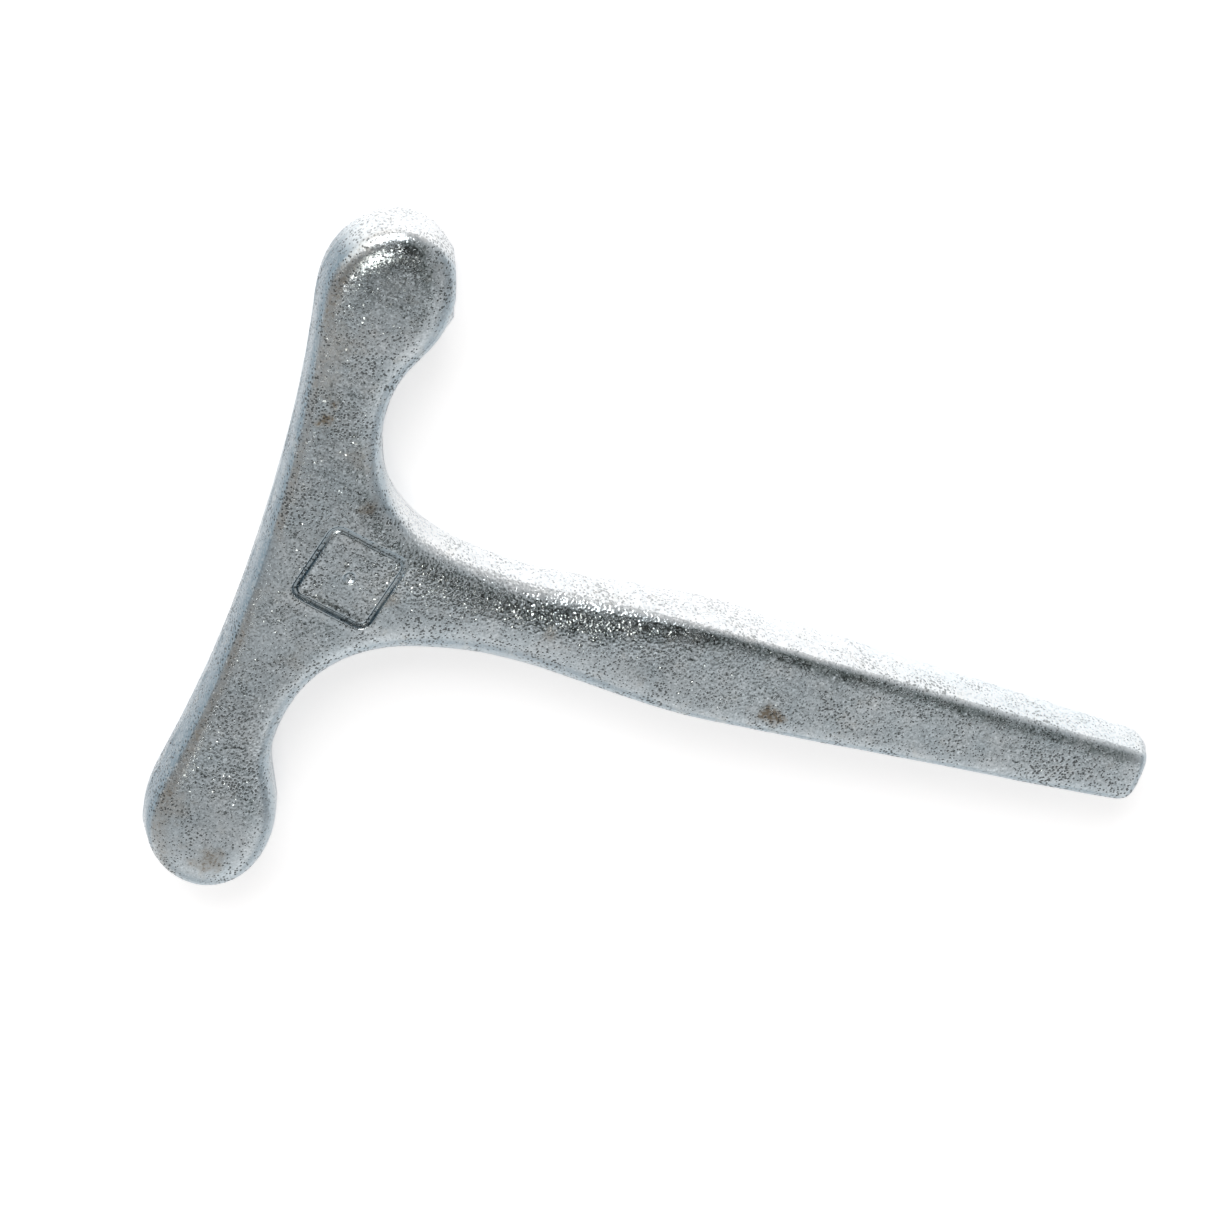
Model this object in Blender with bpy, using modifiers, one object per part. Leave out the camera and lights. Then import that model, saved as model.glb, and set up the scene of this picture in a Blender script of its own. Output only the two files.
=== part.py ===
"""T key of the tap wrench family: a cross bar with bulb ends on a tapered square shank.

The real tool is one drop forging, so it is one node. It lies flat: +X runs along the shank to
its tip, +Y along the bar, and +Z is the normal of the stamped face. The parting plane of the
dies is halfway up, and the forging is the same on both sides of it and of the XZ plane.
The origin is the middle of the footprint, on the surface that the key lies on.

The form is one quarter of a coarse cage, mirrored twice and rounded by Subdivision Surface.
Sizes are in millimetres from the crossing of bar and shank, and MM turns them into metres.
"""

import bpy

MM = 0.001
NAME = "forged_body"
SUBDIVISIONS = 1

# Whole key
BACK_X = -5.6            # back of the bar at the hub
TIP_X = 114.6            # end of the shank
HUB_HEIGHT = 5.0         # all heights are measured from the parting plane
DRAFT = 0.35             # how far the walls lean out to the parting line

# Square taper, the end that drives: straight from TAPER_START_X to the tip
TAPER_START_X = 52.0
TAPER_WIDTH = (6.95, 4.05)     # half width at the start and at the tip
TAPER_HEIGHT = (5.4, 4.1)     # half height at the start and at the tip
TAPER_EDGE = 0.9              # rounding of its four long edges
TAPER_ROLL = (0.25, 1.6)      # how far its faces fall beside those edges, and over what width
TAPER_STATIONS = (109.5, 101.0, 87.0, 73.0, 60.0)

# Every station below is x, y, half height, edge rounding, roll depth, roll width.
# Neck and fillet, from the taper to the bar
NECK = (
    (46.0, 6.7, 5.4, 1.2, 0.5, 2.8),
    (39.0, 6.4, 5.3, 1.5, 0.7, 3.6),
    (31.0, 5.6, 5.2, 1.7, 0.8, 3.6),
    (24.0, 5.8, 5.1, 1.7, 0.8, 3.6),
    (17.5, 6.9, 5.0, 1.6, 0.7, 3.6),
    (11.8, 8.5, 5.0, 1.5, 0.5, 3.2),
)
HUB_CORNER = (6.8, 12.5, 5.0, 1.4, 0.35, 2.6)    # middle of the fillet, joined to the hub's centre

# Bar: front and back of each station out to the bulb
BAR_FRONT = (
    (4.3, 17.2, 5.0, 1.3, 0.3, 2.2),
    (3.3, 22.7, 5.0, 1.3, 0.3, 2.2),
    (3.7, 28.3, 5.1, 1.3, 0.4, 2.4),
    (6.9, 32.9, 5.4, 1.3, 0.5, 3.0),
    (7.8, 38.2, 5.4, 1.3, 0.6, 3.2),
)
BAR_BACK = (
    (-5.9, 10.0, 5.0, 0.9, 0.3, 2.0),
    (-6.5, 19.0, 5.0, 0.9, 0.3, 2.0),
    (-7.4, 26.5, 5.1, 1.0, 0.4, 2.2),
    (-8.4, 33.0, 5.4, 1.1, 0.5, 3.0),
    (-9.7, 39.2, 5.4, 1.2, 0.7, 3.2),
)
BULB_END = (
    (6.3, 44.8, 5.4, 1.0, 0.8, 3.6),
    (0.5, 48.5, 5.4, 1.0, 0.9, 4.2),
    (-6.5, 45.8, 5.4, 1.0, 0.8, 3.6),
)
BULB_AXIS = (-0.5, 40.0)    # the middle line of the bar ends here, inside the bulb

# End of the shank: its middle, its corner, and where the side begins behind the rounded corner
TIP_CORNER_LENGTH = 3.0
TIP_CORNER_FLARE = 0.1
TIP_END = (
    (TIP_X, 0.0),
    (TIP_X, TAPER_WIDTH[1]),
    (TIP_X - TIP_CORNER_LENGTH, TAPER_WIDTH[1] + TIP_CORNER_FLARE),
)

# Profile of the edges, at every station
EARLY_ROLL = 0.2         # share of the roll's depth that is already lost halfway across its width
EDGE_INSET = 0.8         # share of the edge rounding at which the roll ends


def taper(limits, x):
    """A size of the straight taper at x, from its values at the two ends."""
    share = (x - TAPER_START_X) / (TIP_X - TAPER_START_X)
    return limits[0] + share * (limits[1] - limits[0])


def taper_station(x, y=None):
    """An outline station on the taper, at its straight side or at a y of its own."""
    side = taper(TAPER_WIDTH, x) if y is None else y
    return (x, side, taper(TAPER_HEIGHT, x), TAPER_EDGE, *TAPER_ROLL)


def outline():
    """The stations around the half with y >= 0, from the middle of the tip to the middle of the back."""
    tip = [taper_station(x, y) for x, y in TIP_END]
    shank = [taper_station(x) for x in TAPER_STATIONS + (TAPER_START_X,)]
    bar_back = list(reversed(BAR_BACK))
    back = (BACK_X, 0.0, *BAR_BACK[0][2:])
    return [*tip, *shank, *NECK, HUB_CORNER, *BAR_FRONT, *BULB_END, *bar_back, back]


def mitres(stations):
    """For each station, the way out along which both neighbouring edges stay parallel when offset."""
    first = (stations[1][0], -stations[1][1])
    last = (stations[-2][0], -stations[-2][1])
    path = [first, *(station[:2] for station in stations), last]
    result = []
    for before, here, after in zip(path, path[1:], path[2:]):
        normals = []
        for start, end in ((before, here), (here, after)):
            dx, dy = end[0] - start[0], end[1] - start[1]
            length = (dx * dx + dy * dy) ** 0.5
            normals.append((dy / length, -dx / length))
        (ax, ay), (bx, by) = normals
        spread = 1 + ax * bx + ay * by
        result.append(((ax + bx) / spread, (ay + by) / spread))
    return result


def cage():
    """Vertices and faces of the quarter with y >= 0 and z >= 0."""
    vertices = []
    faces = []

    def vertex(x, y, z):
        vertices.append((x * MM, y * MM, z * MM))
        return len(vertices) - 1

    # Six loops follow the outline: three across the roll of the top, then the rounded edge, the wall
    # and the parting line
    stations = outline()
    loops = [[] for _ in range(6)]
    for (x, y, height, edge, roll, width), (mx, my) in zip(stations, mitres(stations)):
        shoulder = height - roll
        wall_top = shoulder - edge
        levels = (
            (-edge - width, height),
            (-edge - width / 2, height - EARLY_ROLL * roll),
            (-EDGE_INSET * edge, shoulder),
            (0.0, wall_top),
            (DRAFT / 2, wall_top / 2),
            (DRAFT, 0.0),
        )
        for loop, (offset, z) in zip(loops, levels):
            loop.append(vertex(x + offset * mx, y + offset * my, z))
    for upper, lower in zip(loops, loops[1:]):
        for i in range(len(stations) - 1):
            faces.append((upper[i], lower[i], lower[i + 1], upper[i + 1]))

    # The top: the rim of the shank joins the middle line, and the rims of the bar join its own
    rim = loops[0]
    shank_count = len(TIP_END) + len(TAPER_STATIONS) + 1 + len(NECK)
    middle = [rim[0]]
    for i in range(2, shank_count):
        x, _, z = vertices[rim[i]]
        middle.append(vertex(x / MM, 0.0, z / MM))
    hub = vertex(0.0, 0.0, HUB_HEIGHT)
    middle.append(hub)
    faces.append((rim[0], rim[1], rim[2], middle[1]))
    for i in range(2, shank_count):
        faces.append((middle[i - 1], rim[i], rim[i + 1], middle[i]))

    front = rim[shank_count:shank_count + len(BAR_FRONT) + 1]
    back = list(reversed(rim))[:len(BAR_BACK) + 1]
    bar = [hub]
    for f, b in zip(front[1:-1], back[1:-1]):
        x, y, z = (sum(pair) / 2 for pair in zip(vertices[f], vertices[b]))
        bar.append(vertex(x / MM, y / MM, z / MM))
    bar.append(vertex(*BULB_AXIS, BULB_END[0][2]))
    for i in range(len(bar) - 1):
        faces.append((bar[i], front[i], front[i + 1], bar[i + 1]))
        faces.append((back[i], bar[i], bar[i + 1], back[i + 1]))
    corner = shank_count + len(BAR_FRONT) + 1
    faces.append((bar[-1], front[-1], rim[corner], rim[corner + 1]))
    faces.append((bar[-1], rim[corner + 1], rim[corner + 2], back[-1]))
    return vertices, faces


def plated_steel():
    """Blue-grey zinc plating on blasted forged steel."""
    material = bpy.data.materials.new("zinc_plated_steel")
    material.use_nodes = True
    shader = material.node_tree.nodes["Principled BSDF"]
    shader.inputs["Base Color"].default_value = (0.56, 0.60, 0.63, 1.0)
    shader.inputs["Metallic"].default_value = 1.0
    shader.inputs["Roughness"].default_value = 0.38
    return material


def forged_body(collection):
    """The whole forging, lying on z = 0 with the middle of its footprint at the origin."""
    vertices, faces = cage()
    mesh = bpy.data.meshes.new(NAME)
    mesh.from_pydata(vertices, [], faces)
    mesh.shade_smooth()
    mesh.materials.append(plated_steel())
    body = bpy.data.objects.new(NAME, mesh)
    collection.objects.link(body)

    mirror = body.modifiers.new("other_quarters", "MIRROR")
    mirror.use_axis = (False, True, True)
    mirror.use_clip = True
    mirror.merge_threshold = 0.0001

    rounding = body.modifiers.new("forged_rounding", "SUBSURF")
    rounding.levels = SUBDIVISIONS
    rounding.render_levels = SUBDIVISIONS

    rounded = body.evaluated_get(bpy.context.evaluated_depsgraph_get())
    low = [min(corner[axis] for corner in rounded.bound_box) for axis in range(3)]
    high = [max(corner[axis] for corner in rounded.bound_box) for axis in range(3)]
    body.location = (-(low[0] + high[0]) / 2, -(low[1] + high[1]) / 2, -low[2])
    return body


def main():
    for old in list(bpy.data.objects):
        bpy.data.objects.remove(old, do_unlink=True)
    collection = bpy.data.collections.new("t_key")
    bpy.context.scene.collection.children.link(collection)
    forged_body(collection)


main()
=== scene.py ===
"""Looks of the forged T key: the blasted and zinc-plated skin, the stamped mark, floor, light and camera.

The skin starts from the CAD body's own mesh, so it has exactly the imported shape. Python then moves its
vertices by fractions of a millimetre: the unevenness of the forging, the trimmed flash, the stamp.
Lengths are in millimetres from the crossing of bar and shank at the parting plane, in the frame's
directions: +X along the shank, +Y along the bar, +Z out of the stamped face. MM turns them into metres.
"""

import math

import bmesh
import bpy
from mathutils import Matrix, Vector, noise


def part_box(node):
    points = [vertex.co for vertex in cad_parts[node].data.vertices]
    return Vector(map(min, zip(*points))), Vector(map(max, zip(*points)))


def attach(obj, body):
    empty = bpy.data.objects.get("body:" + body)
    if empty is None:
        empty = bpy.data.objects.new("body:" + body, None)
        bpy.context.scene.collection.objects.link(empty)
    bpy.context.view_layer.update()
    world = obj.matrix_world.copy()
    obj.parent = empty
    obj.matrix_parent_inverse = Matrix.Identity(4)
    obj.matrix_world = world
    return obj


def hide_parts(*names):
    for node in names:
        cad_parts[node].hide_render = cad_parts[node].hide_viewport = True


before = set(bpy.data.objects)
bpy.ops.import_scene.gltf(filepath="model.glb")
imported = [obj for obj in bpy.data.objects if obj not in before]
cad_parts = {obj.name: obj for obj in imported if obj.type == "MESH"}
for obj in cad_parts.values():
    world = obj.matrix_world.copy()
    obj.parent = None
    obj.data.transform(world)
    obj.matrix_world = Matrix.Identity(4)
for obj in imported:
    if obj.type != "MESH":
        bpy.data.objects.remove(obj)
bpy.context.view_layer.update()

MM = 0.001
NODE = "forged_body"

# Where the crossing of bar and shank is in the CAD box
CROSSING_FROM_BACK = 9.257
LOW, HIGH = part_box(NODE)
CROSSING = Vector((LOW.x + CROSSING_FROM_BACK * MM, (LOW.y + HIGH.y) / 2, (LOW.z + HIGH.z) / 2))

# Mesh
SKIN_LEVELS = 3          # Subdivision levels of the surface that the mesh is laid on
VOXEL = 0.352            # edge length of the mesh
MARK_CUTS = 2            # halvings of the mesh around the stamp

# Unevenness of the forging: wavelength and height
SWELL = (17.0, 0.10)
DENTS = (5.2, 0.05)
LUMPS = (1.7, 0.012)
COARSE_LUMPS = (0.95, 0.024)
CRATER_MEAN = 0.45       # the crests of the coarse lumps stand out and their dimples lie in

# Coarsely pitted skin: the top side of the neck, the lower arm, and patches all over
PITTED_NECK_START = (5, 13)
PITTED_NECK_END = (62, 40)
PITTED_NECK_SIDE = (-2.5, 2.0)
PITTED_ARM_START = (-12, -20)
PITTED_ARM_END = (-38, -30)
PATCH_LENGTH = 11.0

# Trimmed flash along the parting plane
FLASH_HEIGHT = 0.10
FLASH_WIDTH = 0.55
FLASH_CORE = 0.15        # its crest is flat this far from the parting plane

# The bulb on +Y was cut straight at the front when its flash was trimmed, and a corner was left
TRIM_NORMAL = Vector((0.951, 0.308, 0.0))
TRIM_DISTANCE = 19.0
TRIM_SHARE = 0.96        # how much of what stood past the cut is gone
TRIM_CORNER = Vector((8.1, 36.0, 0.0))
TRIM_CORNER_REACH = 3.0
TRIM_CORNER_HEIGHT = 0.8
TRIM_BULB_Y = 30         # the cut touches nothing below this

# The stamp: a plain square for the square socket, with the dot of a centre punch
MARK_CENTRE = Vector((5.6, 1.0))
MARK_TURN = math.radians(-14)
MARK_HALF = 5.3
MARK_CORNER = 1.3
MARK_LINE = 0.46
MARK_DEPTH = 0.62
MARK_BURR = 0.05
PUNCH_RADIUS = 1.0
MARKED_FACE_Z = 3        # the marked face is above this height
MARKED_FACE_TILT = 0.8   # and its normals point up by at least this

# Brown spots where the plating is thin, on the marked face: x, y, radius and strength
BROWN_SPOTS = (
    (63.0, -3.1, 1.8, 1.0), (64.6, -3.4, 1.3, 1.0), (-3.8, 20.8, 1.5, 1.0), (-3.4, 23.0, 0.9, 0.8),
    (32.2, 0.2, 1.6, 0.6), (0.2, -42.3, 2.8, 0.7), (-6.0, 31.0, 4.5, 0.45), (-5.0, 25.5, 3.0, 0.4),
    (11.5, -0.5, 1.6, 0.6), (1.5, 17.0, 2.0, 0.4), (-6.5, -36.0, 3.0, 0.45), (5.0, 10.8, 1.4, 0.8),
    (2.0, -12.0, 2.0, 0.3),
)
# Scale that the blasting left on the marked face, in the same order
DARK_PATCHES = (
    (5.3, 10.4, 2.4, 1.0), (11.0, 10.9, 1.6, 0.7), (-2.0, -20.0, 5.0, 0.55), (0.5, -26.0, 4.0, 0.5),
)


def smoothstep(low, high, value):
    """0 at low, 1 at high, smooth between; low may be above high."""
    share = min(max((value - low) / (high - low), 0.0), 1.0)
    return share * share * (3 - 2 * share)


def wave(point, wavelength, seed):
    """Smooth noise between about -1 and 1."""
    return noise.noise(point / wavelength + Vector((seed, 2 * seed, 3 * seed)))


def craters(point, size, seed):
    """Overlapping round dimples, 0 at their bottoms and up to about 1 on the crests between them."""
    return noise.voronoi(point / size + Vector((seed, -seed, 2 * seed)))[0][0]


# --- The mesh ---------------------------------------------------------------------------------------

def evaluated_mesh(body, name):
    """A new mesh with the body's modifiers applied."""
    depsgraph = bpy.context.evaluated_depsgraph_get()
    mesh = bpy.data.meshes.new_from_object(body.evaluated_get(depsgraph))
    mesh.name = name
    return mesh


def rounded_surface():
    """The CAD body's mesh with its quads restored and rounded further, as a guide object."""
    restored = bmesh.new()
    restored.from_mesh(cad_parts[NODE].data)
    bmesh.ops.remove_doubles(restored, verts=restored.verts, dist=0.001 * MM)
    bmesh.ops.join_triangles(
        restored, faces=restored.faces,
        angle_face_threshold=math.radians(60), angle_shape_threshold=math.radians(60),
    )
    mesh = bpy.data.meshes.new("rounded_surface")
    restored.to_mesh(mesh)
    restored.free()
    guide = bpy.data.objects.new("rounded_surface", mesh)
    bpy.context.scene.collection.objects.link(guide)
    rounding = guide.modifiers.new("rounding", "SUBSURF")
    rounding.levels = SKIN_LEVELS
    rounding.render_levels = SKIN_LEVELS
    guide.data = evaluated_mesh(guide, "rounded_surface")
    guide.modifiers.clear()
    return guide


def even_mesh(guide):
    """An object with an evenly spaced mesh that lies on the guide's surface."""
    skin = bpy.data.objects.new("forged_key", guide.data.copy())
    bpy.context.scene.collection.objects.link(skin)
    remesh = skin.modifiers.new("even_spacing", "REMESH")
    remesh.mode = "VOXEL"
    remesh.voxel_size = VOXEL * MM
    wrap = skin.modifiers.new("onto_the_surface", "SHRINKWRAP")
    wrap.target = guide
    wrap.wrap_method = "NEAREST_SURFACEPOINT"
    skin.data = evaluated_mesh(skin, "forged_key")
    skin.modifiers.clear()
    return skin


def local(co):
    """A point in millimetres from the crossing of bar and shank."""
    return (Vector(co) - CROSSING) / MM


def on_marked_face(point, normal):
    """Whether a point with this normal is on the flat of the marked face."""
    return point.z > MARKED_FACE_Z and normal.z > MARKED_FACE_TILT


def mark_frame(point):
    """The point in the stamp's own plane coordinates."""
    offset = Vector((point.x, point.y)) - MARK_CENTRE
    offset.rotate(Matrix.Rotation(-MARK_TURN, 2))
    return offset


def mark_distance(point):
    """Distance in the plane from the middle of the stamped line, a square with rounded corners."""
    offset = mark_frame(point)
    inner = MARK_HALF - MARK_CORNER
    dx, dy = abs(offset.x) - inner, abs(offset.y) - inner
    outside = math.hypot(max(dx, 0.0), max(dy, 0.0)) + min(max(dx, dy), 0.0)
    return abs(outside - MARK_CORNER)


def near_mark(point):
    """Whether the point is so near the stamped lines or the dot that it needs a finer mesh."""
    return mark_distance(point) < 3 * MARK_LINE or mark_frame(point).length < 1.8 * PUNCH_RADIUS


def refine_mark(skin):
    """Halves the mesh around the stamped lines, so that they are sharp."""
    for _ in range(MARK_CUTS):
        mesh = bmesh.new()
        mesh.from_mesh(skin.data)
        near = set()
        for face in mesh.faces:
            centre = local(face.calc_center_median())
            if on_marked_face(centre, face.normal) and near_mark(centre):
                near.update(face.edges)
        edges = sorted(near, key=lambda edge: edge.index)
        bmesh.ops.subdivide_edges(mesh, edges=edges, cuts=1, use_grid_fill=True)
        mesh.to_mesh(skin.data)
        mesh.free()


def coarse_share(point):
    """How coarsely the skin is pitted, from 0 to 1."""
    neck = smoothstep(*PITTED_NECK_START, point.x) * smoothstep(*PITTED_NECK_END, point.x)
    neck *= smoothstep(*PITTED_NECK_SIDE, point.y)
    arm = smoothstep(*PITTED_ARM_START, point.y) * smoothstep(*PITTED_ARM_END, point.y)
    patches = 0.22 + 0.45 * wave(point, PATCH_LENGTH, 4.0)
    return min(max(0.9 * neck + 0.6 * arm + patches, 0.0), 1.0)


def flash(point, normal):
    """Height of the trimmed flash: an uneven line around the walls, which wanders a little up and down."""
    wall = smoothstep(0.75, 0.35, abs(normal.z))
    line = smoothstep(FLASH_WIDTH, FLASH_CORE, abs(point.z + 0.12 * wave(point, 7.0, 8.0)))
    return wall * line * FLASH_HEIGHT * (0.8 + 1.1 * wave(point, 3.1, 6.0))


def relief(point, normal):
    """How far the skin stands out at a point, apart from the trimming and the stamp."""
    height = SWELL[1] * wave(point, SWELL[0], 1.0)
    height += DENTS[1] * wave(point, DENTS[0], 2.0)
    height += LUMPS[1] * wave(point, LUMPS[0], 3.0)
    height += COARSE_LUMPS[1] * coarse_share(point) * (craters(point, COARSE_LUMPS[0], 5.0) - CRATER_MEAN)
    return height + flash(point, normal)


def trimmed(point):
    """The point after the +Y bulb was trimmed: a small corner stands out, and the rest is cut straight."""
    near = smoothstep(TRIM_CORNER_REACH, 0.0, (point - TRIM_CORNER).length)
    point = point + TRIM_NORMAL * TRIM_CORNER_HEIGHT * near
    past = max(point.dot(TRIM_NORMAL) - TRIM_DISTANCE, 0.0)
    return point - TRIM_NORMAL * past * TRIM_SHARE


def stamp(point):
    """Depth of the stamp at a point of the marked face; the punch went deeper on its -Y side."""
    distance = mark_distance(point)
    offset = mark_frame(point)
    line = smoothstep(MARK_LINE, 0.35 * MARK_LINE, distance)
    dot = smoothstep(PUNCH_RADIUS, 0.3 * PUNCH_RADIUS, offset.length)
    depth = max(line, dot)
    burr = smoothstep(3.0 * MARK_LINE, 1.3 * MARK_LINE, distance) * (1 - depth)
    press = 0.62 - 0.38 * offset.y / MARK_HALF
    return press * (MARK_DEPTH * depth - MARK_BURR * burr)


def shape_skin(skin):
    """Moves every vertex by the relief, trims the +Y bulb and presses the stamp in."""
    normals = [vertex.normal.copy() for vertex in skin.data.vertices]
    for vertex, normal in zip(skin.data.vertices, normals):
        point = local(vertex.co)
        moved = point + normal * relief(point, normal)
        if point.y > TRIM_BULB_Y:
            moved = trimmed(moved)
        if on_marked_face(point, normal):
            moved.z -= stamp(point)
        vertex.co = CROSSING + moved * MM


# --- What lies on the skin, with the painted shade and highlight, stored on the vertices for the material ---

def spots(point, places):
    """How much of a ragged soft spot covers the point, for places given as x, y, radius and strength."""
    cover = 0.0
    for x, y, radius, strength in places:
        distance = math.hypot(point.x - x, point.y - y)
        ragged = distance * (1 + 0.8 * wave(point, 1.1, x))
        cover = max(cover, strength * smoothstep(radius, 0.25 * radius, ragged))
    return cover


def stain(point, normal):
    """Brown stain: spots on the marked face, and dirt along the bar's upper back edge."""
    facing = smoothstep(0.3, 0.9, normal.z)
    edge = smoothstep(-0.12, -0.35, normal.x) * smoothstep(-0.85, -0.6, normal.x)
    edge *= smoothstep(0.2, 0.5, normal.z) * smoothstep(3.0, 5.0, abs(point.y))
    dirt = 0.6 * edge * (0.8 + 0.6 * wave(point, 4.0, 9.0))
    return max(facing * spots(point, BROWN_SPOTS), dirt)


def scale(point, normal):
    """Dark scale on the marked face."""
    return smoothstep(0.3, 0.9, normal.z) * spots(point, DARK_PATCHES)


def painted_wall_shade(point, normal):
    """Painted shade in a darker blue: full on the back walls, thinner on the walls that face the tip and
    -Y.
    """
    back = smoothstep(0.35, 0.85, -normal.x) * smoothstep(0.68, 0.3, normal.y)
    front = 0.65 * smoothstep(0.22, 0.45, max(normal.x, -normal.y))
    return max(back, front)


def groove(point, normal):
    """The stamped line, where the plating is smoother and painted shade darkens it."""
    if point.z <= MARKED_FACE_Z or normal.z <= 0.2:
        return 0.0
    return smoothstep(1.5 * MARK_LINE, 0.6 * MARK_LINE, mark_distance(point))


def painted_highlight(point, normal):
    """Painted highlight: whiter plating with paler pit shade on the +Y walls, less so toward the tip."""
    highlight_strength = 0.40 + 0.50 * smoothstep(95.0, 60.0, point.x)
    return highlight_strength * smoothstep(0.45, 0.8, normal.y)


# Two of these layers are painted light: the shade on the walls and the highlight on the +Y walls
SKIN_LAYERS = {
    "stain": stain,
    "scale": scale,
    "coarse": lambda point, normal: coarse_share(point),
    "painted_wall_shade": painted_wall_shade,
    "groove": groove,
    "painted_highlight": painted_highlight,
}


def paint_skin(skin):
    """Stores every layer on the vertices."""
    mesh = skin.data
    places = [(local(vertex.co), vertex.normal.copy()) for vertex in mesh.vertices]
    for name, layer in SKIN_LAYERS.items():
        shares = [layer(point, normal) for point, normal in places]
        mesh.attributes.new(name, "FLOAT", "POINT").data.foreach_set("value", shares)


# --- The plating ------------------------------------------------------------------------------------

class Nodes:
    """Short calls for building a node tree, with lengths in millimetres."""

    def __init__(self, tree):
        self.tree = tree

    def add(self, kind, inputs=(), **settings):
        node = self.tree.nodes.new(kind)
        for name, value in settings.items():
            setattr(node, name, value)
        for key, value in dict(inputs).items():
            self.put(value, node.inputs[key])
        return node

    def put(self, value, socket):
        if isinstance(value, bpy.types.NodeSocket):
            self.tree.links.new(value, socket)
        else:
            socket.default_value = value

    def attribute(self, name):
        return self.add("ShaderNodeAttribute", attribute_name=name).outputs["Fac"]

    def noise(self, where, wavelength, detail=2.0, rough=0.5):
        node = self.add("ShaderNodeTexNoise", {
            "Vector": where, "Scale": 1 / (wavelength * MM), "Detail": detail, "Roughness": rough,
        })
        return node.outputs["Fac"]

    def voronoi(self, where, size):
        return self.add("ShaderNodeTexVoronoi", {"Vector": where, "Scale": 1 / (size * MM)})

    def cells(self, where, size):
        """Distance from the middle of the nearest cell."""
        return self.voronoi(where, size).outputs["Distance"]

    def soft_cells(self, where, size, smoothness):
        """The same distance, with the creases between the cells rounded."""
        node = self.add("ShaderNodeTexVoronoi", {
            "Vector": where, "Scale": 1 / (size * MM), "Smoothness": smoothness,
        }, feature="SMOOTH_F1")
        return node.outputs["Distance"]

    def random_cells(self, where, size):
        """A random share in every small cell."""
        colour = self.voronoi(where, size).outputs["Color"]
        return self.add("ShaderNodeSeparateColor", {"Color": colour}).outputs["Red"]

    def remap(self, value, low, high, to_low=0.0, to_high=1.0, smooth=False):
        node = self.add("ShaderNodeMapRange", {
            "Value": value, "From Min": low, "From Max": high, "To Min": to_low, "To Max": to_high,
        })
        node.interpolation_type = "SMOOTHSTEP" if smooth else "LINEAR"
        return node.outputs["Result"]

    def math(self, operation, a, b):
        return self.add("ShaderNodeMath", {0: a, 1: b}, operation=operation).outputs[0]

    def times(self, a, b):
        return self.math("MULTIPLY", a, b)

    def vector_math(self, operation, a, b):
        return self.add("ShaderNodeVectorMath", {0: a, 1: b}, operation=operation)

    def mix(self, share, a, b):
        node = self.add("ShaderNodeMix", data_type="RGBA")
        self.put(share, node.inputs["Factor"])
        self.put(a, node.inputs[6])
        self.put(b, node.inputs[7])
        return node.outputs[2]

    def facets(self, where, size, tilt, normal):
        """The normal, tilted at random in every small cell: most cells by little, a few by much."""
        colour = self.voronoi(where, size).outputs["Color"]
        centred = self.vector_math("SUBTRACT", colour, (0.5, 0.5, 0.5)).outputs[0]
        square = self.vector_math("DOT_PRODUCT", centred, centred).outputs["Value"]
        rare = self.times(square, square)
        lean = self.add("ShaderNodeVectorMath", {0: centred}, operation="SCALE")
        self.put(self.times(rare, tilt), lean.inputs["Scale"])
        leaning = self.vector_math("ADD", normal, lean.outputs[0]).outputs[0]
        return self.add("ShaderNodeVectorMath", {0: leaning}, operation="NORMALIZE").outputs[0]

    def bump(self, height, distance, normal=None):
        inputs = {"Height": height, "Distance": distance * MM}
        if normal is not None:
            inputs["Normal"] = normal
        return self.add("ShaderNodeBump", inputs).outputs["Normal"]


# Sizes of what the material draws
PIT_CELL = 0.42          # room that one pit has
PIT_RADIUS = (0.14, 0.48)        # as shares of that room, where they are sparse and where they crowd
PIT_EDGE = (0.72, 0.95)          # where their edge begins and ends, as shares of the radius
PIT_CROWDS = 6.0
PIT_DEPTH = 0.06
GRAIN_CELL = 0.42        # dimples of the blasting
GRAIN_DEPTH = 0.075
FINE_GRAIN = (0.12, 0.004)       # wavelength and height
SMALL_CRYSTALS = 0.20
LARGE_CRYSTALS = 0.36
COLOUR_CRYSTALS = 0.26
SCALE_FLAKES = 0.75
CLOUDS = 5.0
WARM_CLOUDS = 2.4
SPECKS = 0.5
GLOSS_CLOUDS = 1.1

# How the crystals tilt the normal, where the skin is fine and where it is coarse
SMALL_TILT = (0.85, 1.15)
LARGE_TILT = (0.35, 0.9)
GROOVE_CALM = 0.25       # share of the tilt that is left in the stamped line

# Roughness of the bare plating, and what pits and stains add
PLATING_ROUGHNESS = (0.13, 0.24)
DULL_ROUGHNESS = 0.2

# Colours, as linear light
ZINC = (0.65, 0.725, 0.765, 1.0)
PALE_ZINC = (0.77, 0.82, 0.845, 1.0)
# the painted highlight on the +Y walls
HIGHLIGHT_WHITE = (0.95, 0.95, 0.95, 1.0)
# the painted shade on the back walls and, thinner, on the walls that face the tip and -Y
WALL_SHADE_BLUE = (0.145, 0.205, 0.25, 1.0)
# the painted shade in the stamped line
GROOVE_SHADE_GREY = (0.22, 0.30, 0.35, 1.0)
CRYSTAL_GREY = (0.40, 0.44, 0.46, 1.0)
WARM_GREY = (0.62, 0.60, 0.55, 1.0)
THIN_BROWN = (0.47, 0.42, 0.36, 1.0)
CRUST_BROWN = (0.25, 0.205, 0.155, 1.0)
# dark scale, and the painted shade in the pits
SCALE_BLACK_AND_PIT_SHADE = (0.06, 0.065, 0.065, 1.0)

# How much of the plating each colour covers at its strongest
WALL_SHADE_COVER = 0.9
HIGHLIGHT_COVER = 0.75
GROOVE_SHADE_COVER = 0.5
CRYSTAL_COVER = 0.50
WARM_COVER = 0.35
CRUST_COVER = 0.85
# the painted shade in the pits, paler under the painted highlight
PIT_SHADE_COVER = (0.8, 0.35)          # on plain and on bright plating


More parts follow.
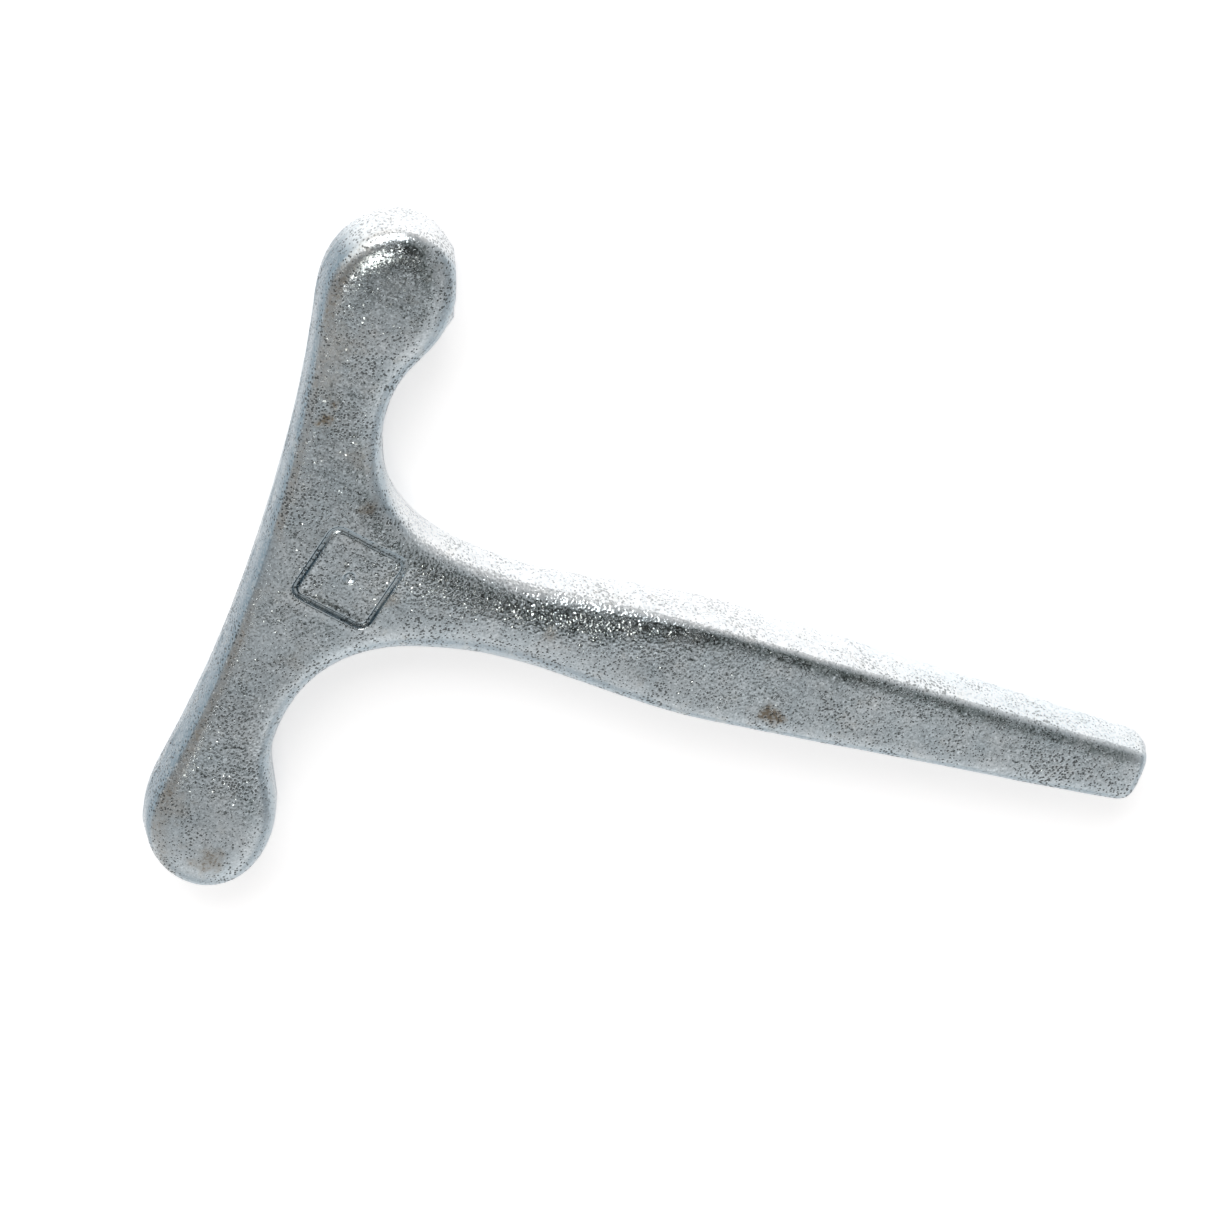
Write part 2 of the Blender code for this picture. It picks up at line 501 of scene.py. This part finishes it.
def pits(nodes, where):
    """1 in small sharp pits, 0 between them; they are larger in some areas than in others."""
    crowd = nodes.noise(where, PIT_CROWDS, detail=3.0, rough=0.6)
    radius = nodes.remap(crowd, 0.34, 0.62, *PIT_RADIUS)
    distance = nodes.math("DIVIDE", nodes.cells(where, PIT_CELL), radius)
    return nodes.remap(distance, *PIT_EDGE, 1.0, 0.0, smooth=True)


def plating_normal(nodes, where, pit):
    """Soft dimples, fine grain, pits, and crystals that lean every way; coarse areas have more of it."""
    coarse = nodes.attribute("coarse")
    dimples = nodes.soft_cells(where, GRAIN_CELL, 0.3)
    normal = nodes.bump(nodes.times(dimples, nodes.remap(coarse, 0.1, 1.0, 0.05, 0.7)), GRAIN_DEPTH)
    wavelength, height = FINE_GRAIN
    normal = nodes.bump(nodes.noise(where, wavelength, detail=1.0), height, normal)
    normal = nodes.bump(nodes.math("SUBTRACT", 1.0, pit), PIT_DEPTH, normal)
    calm = nodes.remap(nodes.attribute("groove"), 0.0, 1.0, 1.0, GROOVE_CALM)
    for size, tilts in ((SMALL_CRYSTALS, SMALL_TILT), (LARGE_CRYSTALS, LARGE_TILT)):
        tilt = nodes.times(nodes.remap(coarse, 0.1, 1.0, *tilts), calm)
        normal = nodes.facets(where, size, tilt, normal)
    return normal


def plating_colour(nodes, where, pit, speck, brown):
    """Cloudy blue-grey plating, brown where it is thin, dark under scale; painted shade on the walls, in
    the stamped line and in the pits, and a painted highlight on the +Y walls.
    """
    highlight_share = nodes.attribute("painted_highlight")
    cloud = nodes.remap(nodes.noise(where, CLOUDS, detail=4.0, rough=0.6), 0.35, 0.68)
    colour = nodes.mix(cloud, ZINC, PALE_ZINC)
    # painted shade: a darker blue on the back walls and, thinner, on the walls that face the tip and -Y
    colour = nodes.mix(nodes.times(nodes.attribute("painted_wall_shade"), WALL_SHADE_COVER), colour, WALL_SHADE_BLUE)
    # painted highlight: whiter plating on the +Y walls, less so toward the tip
    colour = nodes.mix(nodes.times(highlight_share, HIGHLIGHT_COVER), colour, HIGHLIGHT_WHITE)
    # painted shade darkens the stamped line
    colour = nodes.mix(nodes.times(nodes.attribute("groove"), GROOVE_SHADE_COVER), colour, GROOVE_SHADE_GREY)
    crystal = nodes.remap(nodes.random_cells(where, COLOUR_CRYSTALS), 0.5, 1.0, 0.0, CRYSTAL_COVER)
    colour = nodes.mix(crystal, colour, CRYSTAL_GREY)
    warm = nodes.noise(where, WARM_CLOUDS, detail=5.0, rough=0.7)
    colour = nodes.mix(nodes.remap(warm, 0.56, 0.72, 0.0, WARM_COVER), colour, WARM_GREY)
    colour = nodes.mix(brown, colour, THIN_BROWN)
    crust = nodes.math("ADD", nodes.attribute("stain"), nodes.times(speck, 0.45))
    colour = nodes.mix(nodes.remap(crust, 0.90, 1.25, 0.0, CRUST_COVER), colour, CRUST_BROWN)
    flake = nodes.remap(nodes.cells(where, SCALE_FLAKES), 0.16, 0.30, 1.0, 0.0, smooth=True)
    dark = nodes.times(nodes.attribute("scale"), nodes.math("MAXIMUM", flake, nodes.times(speck, 0.5)))
    # painted shade in the pits, paler on the +Y walls under the painted highlight; the dark scale takes
    # the same colour
    pit_shade = nodes.times(pit, nodes.remap(highlight_share, 0.0, 1.0, *PIT_SHADE_COVER))
    return nodes.mix(nodes.math("MAXIMUM", dark, pit_shade), colour, SCALE_BLACK_AND_PIT_SHADE)


def zinc_plating():
    """The zinc over a blasted, pitted forging: a glossy metal, duller in pits and where it is stained."""
    material = bpy.data.materials.new("zinc_plated_forging")
    material.use_nodes = True
    nodes = Nodes(material.node_tree)
    shader = material.node_tree.nodes["Principled BSDF"]
    where = nodes.add("ShaderNodeTexCoord").outputs["Object"]

    pit = pits(nodes, where)
    speck = nodes.remap(nodes.noise(where, SPECKS, detail=3.0, rough=0.7), 0.40, 0.62)
    brown = nodes.times(nodes.attribute("stain"), nodes.remap(speck, 0.0, 1.0, 0.5, 1.0))
    cloud = nodes.noise(where, GLOSS_CLOUDS, detail=3.0, rough=0.6)
    plain = nodes.remap(cloud, 0.3, 0.7, *PLATING_ROUGHNESS)
    dull = nodes.times(nodes.math("MAXIMUM", pit, brown), DULL_ROUGHNESS)

    nodes.put(plating_colour(nodes, where, pit, speck, brown), shader.inputs["Base Color"])
    nodes.put(nodes.math("ADD", plain, dull), shader.inputs["Roughness"])
    nodes.put(plating_normal(nodes, where, pit), shader.inputs["Normal"])
    shader.inputs["Metallic"].default_value = 1.0
    return material


def forged_key():
    """The one visible piece: the forging with its skin."""
    guide = rounded_surface()
    skin = even_mesh(guide)
    bpy.data.objects.remove(guide)
    refine_mark(skin)
    shape_skin(skin)
    paint_skin(skin)
    skin.data.shade_smooth()
    skin.data.materials.clear()
    skin.data.materials.append(zinc_plating())
    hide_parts(NODE)
    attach(skin, "root")
    return skin


# --- Floor, light and camera ------------------------------------------------------------------------

FLOOR_HALF = 4.0         # in metres, like the gap
FLOOR_GAP = 0.0001
TABLE_GLOW = 0.44        # the white table is also lit from below, which keeps its shadows faint


def white_floor():
    """A wide matt white table."""
    mesh = bpy.data.meshes.new("floor")
    height = LOW.z - FLOOR_GAP
    corners = [(x * FLOOR_HALF, y * FLOOR_HALF, height) for x, y in ((-1, -1), (1, -1), (1, 1), (-1, 1))]
    mesh.from_pydata(corners, [], [(0, 1, 2, 3)])
    floor = bpy.data.objects.new("floor", mesh)
    bpy.context.scene.collection.objects.link(floor)
    paper = bpy.data.materials.new("white_paper")
    paper.use_nodes = True
    shader = paper.node_tree.nodes["Principled BSDF"]
    shader.inputs["Base Color"].default_value = (0.96, 0.955, 0.957, 1.0)
    shader.inputs["Roughness"].default_value = 0.9
    shader.inputs["Specular IOR Level"].default_value = 0.1
    shader.inputs["Emission Color"].default_value = (1.0, 0.985, 0.985, 1.0)
    shader.inputs["Emission Strength"].default_value = TABLE_GLOW
    mesh.materials.append(paper)
    return floor


# The dark opening overhead, by the X and Y of the direction: where it begins, is full, fades and ends
OPENING_X = (-0.12, -0.03, 0.27, 0.50)
OPENING_Y = (-0.36, -0.26, 0.34, 0.60)
OPENING_Z = (0.0, 0.2)
OPENING_COLOUR = (0.85, 1.0, 0.92, 1.0)
WALL_COLOUR = (0.99, 0.995, 1.0, 1.0)

# The wide softbox behind the bar, toward its +Y end: where it is, its edges, and its strength
SOFTBOX_SIDE = Vector((-0.85, 0.42, 0.34)).normalized()
SOFTBOX_INNER = math.radians(12)
SOFTBOX_OUTER = math.radians(34)
SOFTBOX_LIGHT = 1.2

# Walls: how bright they are low down and high up, and between which Z of the direction that changes
WALL_LIGHT = (0.70, 0.265)
WALL_Z = (0.1, 0.8)
# What the wall beyond -Y adds, from which Y on, and how much farther out that is on the +X side
FRONT_LIGHT = 0.27
FRONT_Y = (-0.24, -0.56)
FRONT_SHIFT = 0.10
# What the wall beyond the tip adds, and from which X on
TIP_LIGHT = 0.09
TIP_X = (0.2, 0.45)
# How much of the light is left behind the bar, and up to which X
BACK_SHARE = 0.8
BACK_X = (-0.3, 0.0)


def studio_surround():
    """The white studio around the table: bright low down, a dark opening overhead, a softbox beside it."""
    world = bpy.data.worlds.new("studio")
    bpy.context.scene.world = world
    world.use_nodes = True
    nodes = Nodes(world.node_tree)
    background = world.node_tree.nodes["Background"]
    where = nodes.add("ShaderNodeTexCoord").outputs["Generated"]
    axes = nodes.add("ShaderNodeSeparateXYZ", {"Vector": where}).outputs

    def window(axis, begins, full, fades, ends):
        rise = nodes.remap(axes[axis], begins, full, smooth=True)
        fall = nodes.remap(axes[axis], fades, ends, 1.0, 0.0, smooth=True)
        return nodes.times(rise, fall)

    overhead = nodes.remap(axes["Z"], *OPENING_Z, smooth=True)
    opening = nodes.times(nodes.times(window("X", *OPENING_X), window("Y", *OPENING_Y)), overhead)

    walls = nodes.remap(axes["Z"], *WALL_Z, *WALL_LIGHT)
    tip = nodes.remap(axes["X"], *TIP_X, smooth=True)
    front = nodes.math("SUBTRACT", axes["Y"], nodes.times(tip, FRONT_SHIFT))
    front = nodes.remap(front, *FRONT_Y, 0.0, FRONT_LIGHT, smooth=True)
    back = nodes.remap(axes["X"], *BACK_X, BACK_SHARE, 1.0)
    light = nodes.times(nodes.math("ADD", walls, front), back)
    light = nodes.times(light, nodes.remap(opening, 0.0, 1.0, 1.0, 0.0))

    facing = nodes.vector_math("DOT_PRODUCT", where, SOFTBOX_SIDE).outputs["Value"]
    outer, inner = math.cos(SOFTBOX_OUTER), math.cos(SOFTBOX_INNER)
    softbox = nodes.remap(facing, outer, inner, 0.0, SOFTBOX_LIGHT, smooth=True)
    light = nodes.math("ADD", light, softbox)
    light = nodes.math("ADD", light, nodes.times(tip, TIP_LIGHT))
    nodes.put(light, background.inputs["Strength"])
    nodes.put(nodes.mix(opening, WALL_COLOUR, OPENING_COLOUR), background.inputs["Color"])


# Lamps: name, direction from the key, distance and size in metres, power in watts, colour
LAMPS = (
    ("overhead", (-0.17, -0.02, 0.99), 1.2, 0.30, 1.05, (1.0, 0.975, 0.90)),
    ("window", (-0.40, 0.74, 0.54), 1.2, 0.80, 7.5, (1.0, 1.0, 1.0)),
    ("spark", (-0.05, 0.12, 0.99), 1.5, 0.05, 0.10, (1.0, 1.0, 1.0)),
    ("back_spark", (-0.34, -0.28, 0.90), 1.5, 0.05, 0.10, (1.0, 1.0, 1.0)),
)


def soft_lamp(name, direction, distance, size, power, colour):
    """A square area light that faces the middle of the key."""
    data = bpy.data.lights.new(name, "AREA")
    data.size = size
    data.energy = power
    data.color = colour
    lamp = bpy.data.objects.new(name, data)
    bpy.context.scene.collection.objects.link(lamp)
    away = Vector(direction).normalized()
    lamp.location = (LOW + HIGH) / 2 + away * distance
    lamp.rotation_euler = away.to_track_quat("Z", "Y").to_euler()
    return lamp


# The camera looks down on the marked face from beyond the +Y bulb, turned about its own axis
CAMERA_SIDE = Vector((-0.24600, 0.40089, 0.88248))
CAMERA_UP = Vector((-0.23748, 0.85778, -0.45587))
CAMERA_DISTANCE = 0.5653                     # in metres, from the point it aims at
CAMERA_AIM = Vector((37.87, 6.48, 7.14))     # from the crossing, in millimetres
LENS = 133.3
SENSOR = 36.0


def camera():
    """The camera, with everything in focus."""
    data = bpy.data.cameras.new("camera")
    data.lens = LENS
    data.sensor_width = SENSOR
    data.clip_start = 0.05
    data.clip_end = 50.0
    data.dof.use_dof = False
    view = bpy.data.objects.new("camera", data)
    bpy.context.scene.collection.objects.link(view)
    back = CAMERA_SIDE.normalized()
    right = CAMERA_UP.cross(back).normalized()
    up = back.cross(right)
    turn = Matrix((right, up, back)).transposed().to_4x4()
    view.matrix_world = Matrix.Translation(CROSSING + CAMERA_AIM * MM + back * CAMERA_DISTANCE) @ turn
    bpy.context.scene.camera = view


forged_key()
white_floor()
studio_surround()
for settings in LAMPS:
    soft_lamp(*settings)
camera()
bpy.context.scene.view_settings.view_transform = "Standard"
